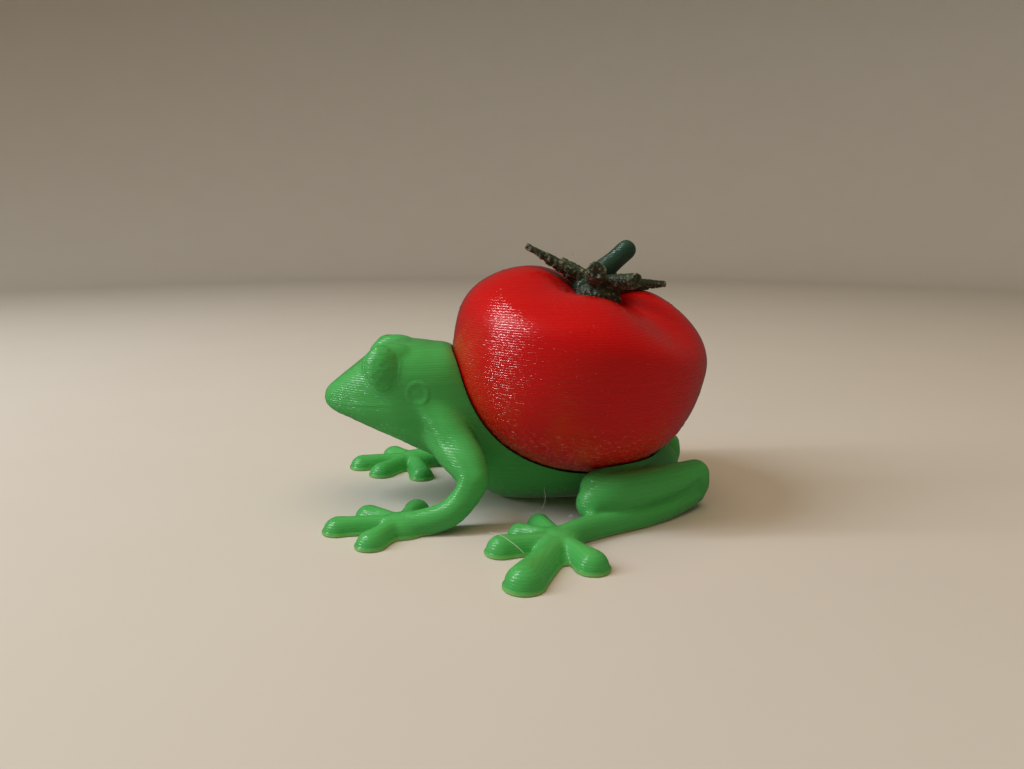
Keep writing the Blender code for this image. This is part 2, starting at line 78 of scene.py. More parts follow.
# Trunk of the frog from snout to rump. Each row is one cross-section:
# y, height of its widest line, half width, reach above that line, reach below it.
TRUNK = [
    (-17.05, 9.45, 0.60, 0.60, 0.35),
    (-16.75, 9.35, 1.20, 1.15, 0.70),
    (-16.00, 9.25, 1.85, 1.90, 1.10),
    (-14.80, 9.28, 2.65, 2.80, 1.68),
    (-13.40, 9.36, 3.50, 3.80, 2.41),
    (-11.90, 9.48, 4.20, 4.65, 3.23),
    (-10.40, 9.55, 4.75, 5.05, 4.05),
    (-8.90, 9.50, 5.00, 5.05, 4.80),
    (-7.40, 9.10, 5.05, 5.25, 5.10),
    (-5.90, 8.40, 4.95, 5.70, 5.10),
    (-4.40, 7.20, 4.85, 5.80, 5.20),
    (-2.90, 6.00, 4.80, 6.00, 5.20),
    (-1.40, 4.90, 4.75, 5.50, 4.95),
    (0.60, 4.20, 4.70, 5.00, 4.50),
    (3.60, 3.90, 4.65, 4.80, 4.20),
    (6.60, 3.85, 4.30, 4.60, 4.15),
    (9.60, 3.85, 3.85, 4.00, 4.10),
    (11.80, 3.75, 3.45, 2.70, 3.60),
    (13.30, 3.50, 2.90, 1.95, 2.70),
    (14.40, 3.20, 2.10, 1.35, 1.80),
    (15.30, 2.95, 1.10, 0.80, 0.90),
]
SQUARENESS_ABOVE = 3.0
SQUARENESS_BELOW = 2.0

# Limbs of the left side. Each row is x, y, z and the radius of the round section.
UPPER_ARM = [
    (2.9, -7.1, 7.4, 1.75),
    (4.9, -5.9, 6.1, 1.7),
    (6.8, -4.75, 5.1, 1.5),
    (8.15, -3.85, 4.1, 1.25),
]
FOREARM = [
    (8.15, -3.85, 4.1, 1.25),
    (8.5, -4.65, 2.75, 1.15),
    (8.9, -6.0, 1.5, 1.15),
    (9.0, -7.9, 0.85, 1.15),
    (8.9, -9.6, 0.6, 1.1),
]
# The raised ridge down the outer, rear side of the arm.
ARM_RIDGE = [
    (3.7, -7.7, 9.6, 1.3),
    (4.15, -6.95, 8.8, 1.5),
    (4.75, -6.1, 7.8, 1.55),
    (5.7, -5.1, 6.5, 1.5),
    (7.1, -4.2, 5.15, 1.4),
    (8.15, -3.85, 4.1, 1.25),
]
# The line down the front of the shoulder, where the arm swells out of the chest.
SHOULDER_FRONT = [
    (4.9, -8.8, 9.9),
    (5.1, -8.3, 8.6),
    (4.9, -7.9, 7.2),
    (4.1, -7.6, 5.8),
]
# The hollow behind the shoulder, filled so that the arm's ridge grows out of the body.
SHOULDER_REAR = [
    (4.5, -6.4, 10.2),
    (4.9, -5.6, 8.9),
    (5.1, -4.9, 7.8),
    (5.3, -4.2, 6.8),
]
# The front of the knee, where thigh and shank meet in one round end.
KNEE_FRONT = [
    (9.3, 4.6, 1.9),
    (8.6, 4.9, 3.0),
    (7.8, 5.4, 3.9),
]
# Joins that are smoothed further: the line they run along, how far out from it, and
# in how many rounds.
BLENDS = (
    (SHOULDER_FRONT, 2.4, 150),
    (SHOULDER_REAR, 1.9, 120),
    (KNEE_FRONT, 1.9, 70),
)
THIGH = [
    (2.6, 12.2, 3.3, 1.6),
    (5.2, 9.6, 3.4, 1.8),
    (7.4, 6.6, 2.75, 1.65),
]
SHANK = [
    (8.6, 6.1, 1.95, 1.65),
    (8.1, 7.7, 2.45, 1.9),
    (7.3, 10.0, 2.55, 1.85),
    (6.1, 13.0, 2.75, 1.6),
    (4.7, 15.75, 3.0, 1.3),
]
TARSUS = [
    (4.6, 15.5, 1.4, 1.3),
    (6.7, 13.2, 1.0, 1.1),
    (8.6, 10.2, 0.8, 1.05),
    (10.1, 6.9, 0.75, 1.05),
    (11.4, 4.5, 0.75, 1.05),
    (12.6, 2.9, 0.65, 1.0),
]
LIMBS = (UPPER_ARM, FOREARM, ARM_RIDGE, THIGH, SHANK, TARSUS)
# The crest down the front of the arm, which catches the light.
ARM_CREST = [
    (5.0, -8.1, 9.6),
    (5.6, -7.4, 8.2),
    (6.1, -6.9, 7.2),
    (6.9, -6.3, 6.3),
    (8.1, -5.3, 5.5),
    (8.9, -4.8, 4.7),
    (9.3, -5.4, 3.6),
]
# The fold between the shank and the long foot that is tucked under it.
FOLD = [
    (10.35, 6.2, 1.6),
    (9.75, 8.0, 1.6),
    (9.1, 10.0, 1.65),
    (8.3, 12.0, 1.85),
    (7.3, 14.0, 2.2),
    (6.3, 15.6, 2.7),
]
HEEL = (4.6, 15.95, 2.3)
HEEL_RADII = (1.2, 1.15, 1.7)

# Palms, and the toes that run from a palm to a round pad. Each toe is
# pad x, pad y, pad radius, stalk half width. A low web joins the outer hind toes.
HAND_PALM = (8.8, -9.9, 0.15)
HAND_PALM_RADII = (1.9, 2.0, 1.45)
HAND_TOES = [
    (8.5, -15.1, 1.25, 0.85),
    (11.6, -12.1, 1.25, 0.90),
    (5.9, -12.9, 1.20, 0.85),
    (4.7, -8.9, 1.15, 0.90),
]
FOOT_PALM = (12.9, 2.6, 0.15)
FOOT_PALM_RADII = (2.1, 1.9, 1.45)
FOOT_WEB = (14.4, 2.4, 0.1)
FOOT_WEB_RADII = (1.9, 1.5, 0.6)
FOOT_TOES = [
    (13.6, -2.0, 1.25, 1.00),
    (19.3, -0.7, 1.50, 1.28),
    (16.9, 4.5, 1.30, 0.95),
    (10.9, -0.3, 1.10, 0.90),
    (8.9, 1.4, 1.05, 0.85),
]
# Height of a pad as a share of its radius.
HAND_PAD_RISE = 0.92
FOOT_PAD_RISE = 1.05
TOE_Z = 0.15
TOE_RIDGE = 1.25
# Sections of a toe: share of the way to the pad, share of the way from the
# stalk's half width to the pad's, and the same share for the height of its ridge.
TOE_SECTIONS = [
    (0.0, 0.3, 0.1),
    (0.35, 0.0, 0.0),
    (0.65, 0.1, 0.25),
    (0.85, 0.5, 0.75),
    (1.0, 0.85, 0.95),
]

# Eye and eardrum of the left side.
EYE = (3.8, -11.6, 12.8)
EYE_RADII = (1.15, 1.5, 1.9)
EYE_TILT = math.radians(18.0)
BROW = (2.7, -10.8, 12.75)
BROW_RADII = (1.4, 2.6, 1.95)
EARDRUM = (4.55, -8.55, 10.77)
EARDRUM_RADIUS = 0.98

# Fine forms of the green skin: heights and widths in millimetres.
LIP_HEIGHT = 0.035
LIP_WIDTH = 0.12
MOUTH_DEPTH = 0.02
MOUTH_WIDTH = 0.10
MOUTH_CORNER_Y = -9.6
MOUTH_FULL_Y = -11.4
LID_HEIGHT = 0.07
LID_FOLD_DEPTH = 0.05
EYE_UNEVENNESS = 0.05
DRUM_RING_HEIGHT = 0.045
DRUM_DISH_DEPTH = 0.02
DRUM_FOLD_DEPTH = 0.02
DRUM_UNEVENNESS = 0.02
CREST_HEIGHT = 0.16
CREST_WIDTH = 0.5
CREASE_DEPTH = 0.22
CREASE_WIDTH = 0.32
SQUASHED_LAYER = 0.13
FROG_SAG = 0.04
FROG_WAVES = 0.022

# Tomato: a flattened, four-lobed fruit whose axis leans back towards the rump. The
# ribs are deepest on one side and fade out round to the other.
TOMATO_CENTRE = (0.0, 6.03, 13.95)
TOMATO_LEAN = math.radians(12.8)
TOMATO_RADIUS = 11.47
TOMATO_RISE = 7.15
TOMATO_DROP = 11.25
TOMATO_SIDE_POWER = 0.93
TOMATO_END_POWER = 0.89
DIMPLE_DEPTH = 2.7
DIMPLE_RADIUS = 3.5
DIMPLE_SHIFT = (0.9, -0.3)
LOBES = 4
LOBE_TURN = math.radians(43.0)
RIBBED_SIDE = math.radians(88.0)
RIB_FADE = 0.35
LOBE_DEPTH = 0.09
LOBE_DROP = 2.6
LOW_SIDE_TURN = math.radians(5.0)
LOW_SIDE_DROP = 3.0
CUP_GAP = 0.16
TOMATO_SAG = 0.11
TOMATO_ZITS = 0.05
TOMATO_WAVES = 0.02

# Calyx and stem in the tomato's own frame, whose z is the fruit's axis.
CALYX_COLLAR = (0.2, 0.4, 4.75)
CALYX_COLLAR_RADII = (2.2, 2.15, 1.25)
# Sepals: turn round the axis in degrees from +X, reach, height of the tip,
# half width and half thickness at the tip. The two near ones end blunt.
SEPALS = [
    (-91.0, 6.85, 7.6, 0.30, 0.25),
    (-136.0, 4.3, 7.0, 0.30, 0.30),
    (-14.0, 3.4, 7.0, 0.72, 0.72),
    (42.0, 4.2, 6.8, 0.72, 0.68),
    (91.0, 6.2, 7.0, 0.30, 0.30),
    (150.0, 4.4, 6.9, 0.30, 0.30),
]
SEPAL_HALF_WIDTH = 0.95
SEPAL_HALF_THICKNESS = 0.85
SEPAL_ROOT_OUT = 0.6
SEPAL_ROOT_Z = 5.75
SEPAL_ARCH = 0.1
STEM = [
    (0.0, -0.85, 5.25, 1.2),
    (0.0, 0.05, 6.5, 1.08),
    (0.0, 1.1, 7.95, 0.9),
    (0.0, 1.95, 9.15, 0.9),
]
STEM_WAVES = 0.03
# How far torn sepals are roughened: everywhere, more at edges and on undersides.
TORN = 0.04
TORN_EDGE = 0.09
TORN_UNDERSIDE = 0.08

GREEN_NODES = (
    "head", "torso",
    "upper_arm_left", "upper_arm_right", "forearm_left", "forearm_right",
    "hand_left", "hand_right", "thigh_left", "thigh_right",
    "shank_left", "shank_right", "tarsus_left", "tarsus_right",
    "foot_left", "foot_right",
    "eye_left", "eye_right", "eardrum_left", "eardrum_right",
)


# Materials

def linear(hex_colour):
    """An sRGB hex colour as the linear red, green, blue and alpha of a socket."""
    channels = [int(hex_colour[start:start + 2], 16) / 255 for start in (1, 3, 5)]
    return (*[value / 12.92 if value <= 0.04045 else ((value + 0.055) / 1.055) ** 2.4
              for value in channels], 1.0)


def add(tree, kind, feeds=None, **settings):
    """Add a node with its settings; feeds gives sockets a value, a node or a socket."""
    made = tree.nodes.new(kind)
    for name, value in settings.items():
        setattr(made, name, value)
    for socket, source in (feeds or {}).items():
        if isinstance(source, bpy.types.Node):
            source = source.outputs[0]
        if isinstance(source, bpy.types.NodeSocket):
            tree.links.new(source, made.inputs[socket])
        else:
            made.inputs[socket].default_value = source
    return made


# How many lumps of each pattern go to a millimetre: the layers wander over 4 mm and the
# batch drifts over 9 mm, while dashes and flecks are about 0.3 mm long. The clots on a
# thread are 0.7 mm long, and the mottle of the board is 17 mm across.
WANDERS_PER_MM = 0.26
DRIFTS_PER_MM = 0.11
DASHES_PER_MM = 2.8
FLECKS_PER_MM = 3.6
CLOTS_PER_MM = 1.5
MOTTLES_PER_MM = 0.06
# How far the layers wander, as a share of one layer.
WANDER = 0.22
# How much one layer's bead stands out more than another's.
BEAD_LUCK = 0.15
# How much of the shade the joins between layers take, and how much of its own colour
# the first layer takes.
JOIN_SHADE = 0.2
FIRST_LAYER_TINT = 0.7
# The heights at which the pressed first layer begins to end and has ended, in mm.
FIRST_LAYER_ENDS = (0.12, 0.3)
# The brightness of the dullest and the brightest layer.
LAYER_BRIGHTNESS = (0.975, 1.025)
# How far down the print faces where the painted glints on undersides begin and where
# they are full, and how much they add to the pale specks there.
UNDERSIDE_GLINT_FACING = (-0.36, -0.56)
UNDERSIDE_GLINT_AMOUNT = 0.14
# How sharp a crest begins to look torn, and how sharp one is fully so.
TORN_CREST = (0.52, 0.6)
# PLA's own values: its surface shines less than its gloss does, and light goes a little
# way into it, given in millimetres.
PLA_IOR = 1.46
PLA_SHINE = 0.15
PLA_SEE_THROUGH = 0.12
PLA_LIGHT_REACH = 0.8

# The gloss sits on the rounded outer sides of the strands: on steep walls it faces more
# level than the print does, turns up and down within each layer, and is uneven.
STRAND_LEVEL = 0.45
STRAND_ROUND = 1.0
STRAND_JITTER = (0.6, 0.6, 1.8)


def new_material(name):
    """A new material, its nodes, its shader and the places on the object it covers."""
    material = bpy.data.materials.new(name)
    material.use_nodes = True
    tree = material.node_tree
    place = add(tree, "ShaderNodeTexCoord").outputs["Object"]
    return material, tree, tree.nodes["Principled BSDF"], place


def layer_beads(tree, place):
    """The beads of filament that lie under each place.

    Gives the height of the place, how far it is off the middle of its bead (from -1 to
    1), the bead's own curve, and a number that is drawn for each layer.
    """
    # The layers wander by a few hundredths of a millimetre, as the nozzle does.
    drift = add(tree, "ShaderNodeTexNoise",
                {"Vector": place, "Scale": WANDERS_PER_MM / MM, "Detail": 2.0})
    height = add(tree, "ShaderNodeSeparateXYZ", {0: place}).outputs["Z"]
    count = add(tree, "ShaderNodeMath", {0: height, 1: 1.0 / (LAYER * MM)},
                operation="MULTIPLY")
    count = add(tree, "ShaderNodeMath", {0: drift, 1: WANDER, 2: count},
                operation="MULTIPLY_ADD")
    part_way = add(tree, "ShaderNodeMath", {0: count}, operation="FRACT")
    layer = add(tree, "ShaderNodeMath", {0: count}, operation="FLOOR")
    luck = add(tree, "ShaderNodeTexWhiteNoise", {"W": layer}, noise_dimensions="1D")

    # The bead's rounded edge: 0 at both joins with its neighbours, 1 half way.
    off_middle = add(tree, "ShaderNodeMath", {0: part_way, 1: 2.0, 2: -1.0},
                     operation="MULTIPLY_ADD")
    squared = add(tree, "ShaderNodeMath", {0: off_middle, 1: off_middle},
                  operation="MULTIPLY")
    bead = add(tree, "ShaderNodeMath", {0: 1.0, 1: squared}, operation="SUBTRACT")
    bead = add(tree, "ShaderNodeMath", {
        0: luck.outputs["Value"], 1: BEAD_LUCK, 2: bead}, operation="MULTIPLY_ADD")
    return height, off_middle, bead, luck


def layered_colour(tree, place, height, bead, luck, colour, shade, glow, first_layer):
    """Painted shade in the joins between beads, with a slow drift in the batch and a little
    per layer.
    """
    joins = add(tree, "ShaderNodeMapRange",
                {"Value": bead, "From Min": 0.0, "From Max": 0.75,
                 "To Min": 1.0, "To Max": 0.0})
    slow = add(tree, "ShaderNodeTexNoise",
               {"Vector": place, "Scale": DRIFTS_PER_MM / MM, "Detail": 2.0})
    batch = add(tree, "ShaderNodeMixRGB", {
        "Fac": slow, "Color1": linear(colour), "Color2": linear(glow)})
    per_layer = add(tree, "ShaderNodeHueSaturation", {
        "Color": batch,
        "Value": add(tree, "ShaderNodeMapRange", {
            "Value": luck.outputs["Value"],
            "To Min": LAYER_BRIGHTNESS[0], "To Max": LAYER_BRIGHTNESS[1]})})
    # Painted shade: the joins between beads take some of the darker shade colour.
    joined = add(tree, "ShaderNodeMath", {0: joins, 1: JOIN_SHADE},
                 operation="MULTIPLY")
    colours = add(tree, "ShaderNodeMixRGB", {
        "Fac": joined, "Color1": per_layer, "Color2": linear(shade)})
    # The first layer is pressed flat on the bed, so thin that light comes through it.
    pressed = add(tree, "ShaderNodeMapRange", {
        "Value": height,
        "From Min": FIRST_LAYER_ENDS[0] * MM, "From Max": FIRST_LAYER_ENDS[1] * MM,
        "To Min": FIRST_LAYER_TINT, "To Max": 0.0})
    return add(tree, "ShaderNodeMixRGB", {
        "Fac": pressed, "Color1": colours, "Color2": linear(first_layer)})


def flecks_and_painted_glints(tree, along_beads, fleck_from, frayed):
    """Pale dots along the beads, more on undersides as painted glints, and torn crests."""
    skin = add(tree, "ShaderNodeNewGeometry")
    facing = add(tree, "ShaderNodeSeparateXYZ", {0: skin.outputs["Normal"]})
    # Painted glints: faces turned down get more pale specks, for light caught by sagging
    # strands.
    painted_underside_glints = add(tree, "ShaderNodeMapRange", {
        "Value": facing.outputs["Z"],
        "From Min": UNDERSIDE_GLINT_FACING[0], "From Max": UNDERSIDE_GLINT_FACING[1],
        "To Min": 0.0, "To Max": UNDERSIDE_GLINT_AMOUNT})
    spots = add(tree, "ShaderNodeTexNoise", {
        "Vector": along_beads, "Scale": FLECKS_PER_MM / MM, "Detail": 1.0})
    spots = add(tree, "ShaderNodeMath", {0: spots, 1: painted_underside_glints}, operation="ADD")
    pale_specks_and_glints = add(tree, "ShaderNodeMapRange", {
        "Value": spots, "From Min": fleck_from, "From Max": fleck_from + 0.08})
    if frayed:
        crests = add(tree, "ShaderNodeMapRange", {
            "Value": skin.outputs["Pointiness"],
            "From Min": TORN_CREST[0], "From Max": TORN_CREST[1],
            "To Min": 0.0, "To Max": frayed})
        pale_specks_and_glints = add(tree, "ShaderNodeMath", {0: pale_specks_and_glints, 1: crests}, operation="MAXIMUM")
    return pale_specks_and_glints


def gloss_facing(tree, grained, off_middle, uneven):
    """The way that the gloss faces, which leans and turns only where the print is steep."""
    sides = add(tree, "ShaderNodeSeparateXYZ", {0: grained})
    up = sides.outputs["Z"]
    steep = add(tree, "ShaderNodeMath", {
        0: 1.0, 1: add(tree, "ShaderNodeMath", {0: up, 1: up}, operation="MULTIPLY")},
        operation="SUBTRACT")
    turned = add(tree, "ShaderNodeMath", {0: off_middle, 1: STRAND_ROUND / 2},
                 operation="MULTIPLY")
    turned = add(tree, "ShaderNodeMath", {0: up, 1: -STRAND_LEVEL, 2: turned},
                 operation="MULTIPLY_ADD")
    turned = add(tree, "ShaderNodeCombineXYZ", {"Z": turned})
    jitter = add(tree, "ShaderNodeVectorMath", {
        0: uneven.outputs["Color"], 1: STRAND_JITTER,
        2: [-part / 2 for part in STRAND_JITTER]}, operation="MULTIPLY_ADD")
    astray = add(tree, "ShaderNodeVectorMath", {0: turned, 1: jitter}, operation="ADD")
    astray = add(tree, "ShaderNodeVectorMath", {0: astray, "Scale": steep},
                 operation="SCALE")
    strand = add(tree, "ShaderNodeVectorMath", {0: grained, 1: astray}, operation="ADD")
    return add(tree, "ShaderNodeVectorMath", {0: strand}, operation="NORMALIZE")


def printed_pla(name, colour, shade, glow, first_layer, fleck_and_glint_colour, fleck_from, frayed,
                gloss, gloss_roughness, roughness, bead_depth, grain_depth):
    """PLA filament laid down in level layers.

    Each layer's rounded edge draws its reflection out up and down, so the surface
    shows fine level lines and a gleam that stands upright and breaks into dashes.
    The plastic is a little see-through, has painted shade in the joins between layers,
    and has pale specks along the beads. Undersides get more of these specks, which are
    painted glints, and torn edges look pale as much as frayed says.
    """
    material, tree, shader, place = new_material(name)
    height, off_middle, bead, luck = layer_beads(tree, place)

    # Small unevenness along each bead: dashes twice as long as they are high.
    along_beads = add(tree, "ShaderNodeMapping", {
        "Vector": place, "Scale": (1.0, 1.0, 2.0)})
    uneven = add(tree, "ShaderNodeTexNoise", {
        "Vector": along_beads, "Scale": DASHES_PER_MM / MM, "Detail": 2.0, "Roughness": 0.6})
    layered = add(tree, "ShaderNodeBump", {
        "Height": bead, "Strength": 1.0, "Distance": bead_depth * MM})
    grained = add(tree, "ShaderNodeBump", {
        "Height": uneven, "Strength": 1.0, "Distance": grain_depth * MM, "Normal": layered})

    plain = layered_colour(
        tree, place, height, bead, luck, colour, shade, glow, first_layer)
    # Pale specks along the beads; those on undersides are painted glints.
    pale_specks_and_glints = flecks_and_painted_glints(tree, along_beads, fleck_from, frayed)
    colours = add(tree, "ShaderNodeMixRGB", {
        "Fac": pale_specks_and_glints, "Color1": plain, "Color2": linear(fleck_and_glint_colour)})
    rough = add(tree, "ShaderNodeMapRange", {
        "Value": uneven, "From Min": 0.3, "From Max": 0.7,
        "To Min": roughness - 0.06, "To Max": roughness + 0.08})
    strand = gloss_facing(tree, grained, off_middle, uneven)

    tree.links.new(colours.outputs[0], shader.inputs["Base Color"])
    tree.links.new(strand.outputs[0], shader.inputs["Coat Normal"])
    shader.inputs["Coat Weight"].default_value = gloss
    shader.inputs["Coat Roughness"].default_value = gloss_roughness
    shader.inputs["Coat IOR"].default_value = PLA_IOR
    tree.links.new(rough.outputs[0], shader.inputs["Roughness"])
    tree.links.new(grained.outputs[0], shader.inputs["Normal"])
    shader.inputs["IOR"].default_value = PLA_IOR
    shader.inputs["Specular IOR Level"].default_value = PLA_SHINE
    shader.inputs["Subsurface Weight"].default_value = PLA_SEE_THROUGH
    shader.inputs["Subsurface Radius"].default_value = (0.5, 0.7, 0.35)
    shader.inputs["Subsurface Scale"].default_value = PLA_LIGHT_REACH * MM
    return material


def green_pla():
    """The frog's bright green: satin, and pale where the first layer is pressed thin."""
    return printed_pla(
        "green_pla_layers", colour="#4ab357", shade="#2a873a", glow="#56bb62",
        first_layer="#9fce72", fleck_and_glint_colour="#7fce84", fleck_from=0.77, frayed=0.0,
        gloss=0.65, gloss_roughness=0.18, roughness=0.36,
        bead_depth=0.007, grain_depth=0.02)


def red_pla():
    """The tomato's red: the glossiest, with a sharp gleam that breaks into dashes."""
    return printed_pla(
        "red_pla_layers", colour="#cc0a0c", shade="#8c080a", glow="#d41210",
        first_layer="#cc0a0c", fleck_and_glint_colour="#d8605a", fleck_from=0.74, frayed=0.0,
        gloss=0.95, gloss_roughness=0.07, roughness=0.34,
        bead_depth=0.007, grain_depth=0.02)


def torn_dark_green_pla():
    """The sepals' dark green: dull and brownish, with pale torn crests."""
    return printed_pla(
        "dark_green_pla_torn", colour="#2c4a3c", shade="#1b2a20", glow="#48432c",
        first_layer="#2a4a3a", fleck_and_glint_colour="#999c80", fleck_from=0.80, frayed=0.75,
        gloss=0.4, gloss_roughness=0.2, roughness=0.42,
        bead_depth=0.010, grain_depth=0.04)


def dark_green_pla():
    """The stem's dark green: laid down cleanly, and a little glossy."""
    return printed_pla(
        "dark_green_pla_layers", colour="#2a5244", shade="#1b3228", glow="#38483a",
        first_layer="#2a4a3a", fleck_and_glint_colour="#5d7a68", fleck_from=0.84, frayed=0.0,
        gloss=0.6, gloss_roughness=0.14, roughness=0.36,
        bead_depth=0.008, grain_depth=0.03)


def mottled(name, lumps_per_mm, darker, paler, roughness):
    """A plain material whose colour drifts between two, and its shader."""
    material, tree, shader, place = new_material(name)
    drift = add(tree, "ShaderNodeTexNoise", {
        "Vector": place, "Scale": lumps_per_mm / MM})
    tint = add(tree, "ShaderNodeMixRGB", {
        "Fac": drift, "Color1": linear(darker), "Color2": linear(paler)})
    tree.links.new(tint.outputs[0], shader.inputs["Base Color"])
    shader.inputs["Roughness"].default_value = roughness
    return material, shader


def loose_thread():
    """A hair of the same plastic, drawn out thin by the nozzle: pale and shiny."""
    material, shader = mottled("pla_thread", CLOTS_PER_MM, "#b9c9a0", "#e4e6d2", 0.3)
    shader.inputs["IOR"].default_value = PLA_IOR
    return material


def pale_floor():
    """Matt painted board: nearly white, with a very faint mottle."""
    return mottled("pale_board", MOTTLES_PER_MM, "#d3cfc7", "#d7d4cc", 0.75)[0]


# Shapes shared by the prints

def mirrored(point, side):
    """A point of the left side, or its mirror image when side is -1."""
    return Vector((point[0] * side, point[1], point[2]))


def curve_value(values, share):
    """A value some share of the way between the middle two of four, on a smooth curve."""
    before, start, end, after = values
    straight = (end - before) * share
    square = (2 * before - 5 * start + 4 * end - after) * share ** 2
    cube = (3 * start - before - 3 * end + after) * share ** 3
    return 0.5 * (2 * start + straight + square + cube)


def smooth_rows(rows, steps=PATH_STEPS):
    """Pass one smooth curve through rows of numbers, with steps points to a span."""
    padded = [rows[0], *rows, rows[-1]]
    result = []
    for index in range(1, len(padded) - 2):
        nearby = padded[index - 1:index + 3]
        for step in range(steps):
            share = step / steps
            result.append([curve_value(values, share) for values in zip(*nearby)])
    result.append(list(rows[-1]))
    return result


def loft(bm, rings):
    """Skin a row of equal rings of points and close both ends."""
    loops = [[bm.verts.new(point) for point in ring] for ring in rings]
    count = len(loops[0])
    for near, far in zip(loops, loops[1:]):
        for index in range(count):
            after = (index + 1) % count
            bm.faces.new((near[index], near[after], far[after], far[index]))
    bm.faces.new(loops[0])
    bm.faces.new(loops[-1])


def circle(centre, across, upward, radius, points=LIMB_POINTS):
    """Points round a circle that spans two directions."""
    result = []
    for index in range(points):
        angle = 2 * math.pi * index / points
        result.append(centre + radius * (math.cos(angle) * across
                                         + math.sin(angle) * upward))
    return result


def dome(centre, outward, radius):
    """Centres and radii of the rings that close a tube with half a ball."""
    angles = [math.radians(degrees) for degrees in (15.0, 30.0, 45.0, 60.0, 74.0, 85.0)]
    return [(centre + outward * radius * math.sin(angle), radius * math.cos(angle))
            for angle in angles]


def add_limb(bm, stations, side=1):
    """Add a round tube of changing radius, with domed ends, along a smooth path."""
    rows = smooth_rows(stations)
    centres = [mirrored(row, side) for row in rows]
    first, last = centres[0], centres[-1]
    lead_in = (first - centres[1]).normalized()
    lead_out = (last - centres[-2]).normalized()
    sections = [(place, -lead_in, size) for place, size in
                reversed(dome(first, lead_in, rows[0][3]))]
    for index, row in enumerate(rows):
        behind = centres[max(index - 1, 0)]
        ahead = centres[min(index + 1, len(rows) - 1)]
        sections.append((centres[index], (ahead - behind).normalized(), row[3]))
    sections += [(place, lead_out, size) for place, size in
                 dome(last, lead_out, rows[-1][3])]
    across = sections[0][1].orthogonal().normalized()
    rings = []
    for centre, along, radius in sections:
        across = (across - along * across.dot(along)).normalized()
        rings.append(circle(centre, across, along.cross(across), radius))
    loft(bm, rings)


def add_ball(bm, centre, radii, tilt=0.0):
    """Add a ball, stretched to three radii and tilted up at its outer side."""
    turn = Matrix.Rotation(-tilt, 3, "Y")
    across, aside, upward = [turn.col[axis] * radii[axis] for axis in range(3)]
    rings = []
    for index in range(1, BALL_RINGS):
        angle = math.pi * index / BALL_RINGS
        level = centre + upward * math.cos(angle)
        rings.append(circle(level, across, aside, math.sin(angle), 2 * BALL_RINGS))
    loft(bm, rings)


def place_in_scene(name, data):
    """An object of its own for a mesh, a curve, a light or a camera."""
    item = bpy.data.objects.new(name, data)
    bpy.context.scene.collection.objects.link(item)
    return item


def add_object(name, bm):
    """Put a shape drawn in millimetres into the scene as an object in metres."""
    bmesh.ops.recalc_face_normals(bm, faces=bm.faces)
    bmesh.ops.scale(bm, vec=(MM, MM, MM), verts=bm.verts)
    mesh = bpy.data.meshes.new(name)
    bm.to_mesh(mesh)
    bm.free()
    return place_in_scene(name, mesh)


def apply_modifiers(item):
    """Replace an object's mesh by what its modifiers make of it."""
    bpy.context.view_layer.update()
    graph = bpy.context.evaluated_depsgraph_get()
    mesh = bpy.data.meshes.new_from_object(item.evaluated_get(graph))
    item.modifiers.clear()
    item.data = mesh


def one_skin(item, voxel, fillets):
    """Fuse an object's crossing bodies into one closed skin with rounded joins."""
    remesh = item.modifiers.new("one skin", "REMESH")
    remesh.mode = "VOXEL"
    remesh.voxel_size = voxel * MM
    soften = item.modifiers.new("fillets", "SMOOTH")
    soften.factor = SMOOTHING
    soften.iterations = fillets
    apply_modifiers(item)


def blend_near(item, line, reach, rounds):
    """Round off the joins near a line of points, more than the fillets do."""
    places = vertex_places(item)
    near = np.zeros(len(places))
    for point in smooth_rows(line, JOIN_STEPS):
        for side in (1, -1):
            out = length(places - np.array(mirrored(point, side)))
            near = np.maximum(near, ramp(out, reach, reach * 0.5))
    group = item.vertex_groups.new(name="join")
    for index in np.flatnonzero(near):
        group.add([int(index)], float(near[index]), "REPLACE")
    soften = item.modifiers.new("blend", "SMOOTH")
    soften.factor = SMOOTHING
    soften.iterations = rounds
    soften.vertex_group = "join"
    apply_modifiers(item)
    item.vertex_groups.clear()


def vertex_places(item):
    """Where each point of an object's mesh is, in millimetres."""
    places = np.empty(len(item.data.vertices) * 3)
    item.data.vertices.foreach_get("co", places)
    return places.reshape(-1, 3) / MM


def cut(item, cutter):
    """Cut one closed object with another, and drop the cutter."""
    boolean = item.modifiers.new("cut", "BOOLEAN")
    boolean.operation = "DIFFERENCE"
    boolean.solver = "MANIFOLD"
    boolean.object = cutter
    apply_modifiers(item)
    bpy.data.objects.remove(cutter)


def sculpt(item, raised):
    """Move each point along its normal by what raised says of its place, in mm."""
    mesh = item.data
    places = vertex_places(item)
    normals = np.empty(len(mesh.vertices) * 3)
    mesh.vertex_normals.foreach_get("vector", normals)
    normals = normals.reshape(-1, 3)
    places = places + normals * raised(places, normals)[:, None]
    mesh.vertices.foreach_set("co", (places * MM).ravel())
    mesh.update()


def length(offsets):
    """How long each row of offsets is."""
    return np.sqrt((offsets ** 2).sum(axis=1))


def bump(distance, width):
    """A smooth bump: 1 at no distance, falling away over about the given width."""
    return np.exp(-(distance / width) ** 2)


def ramp(value, low, high):
    """0 below low, 1 above high and smooth between them; high may be the lower one."""
    share = np.clip((value - low) / (high - low), 0.0, 1.0)
    return share * share * (3.0 - 2.0 * share)


# How many lumps the noise below has each way before it repeats.
LATTICE = 32


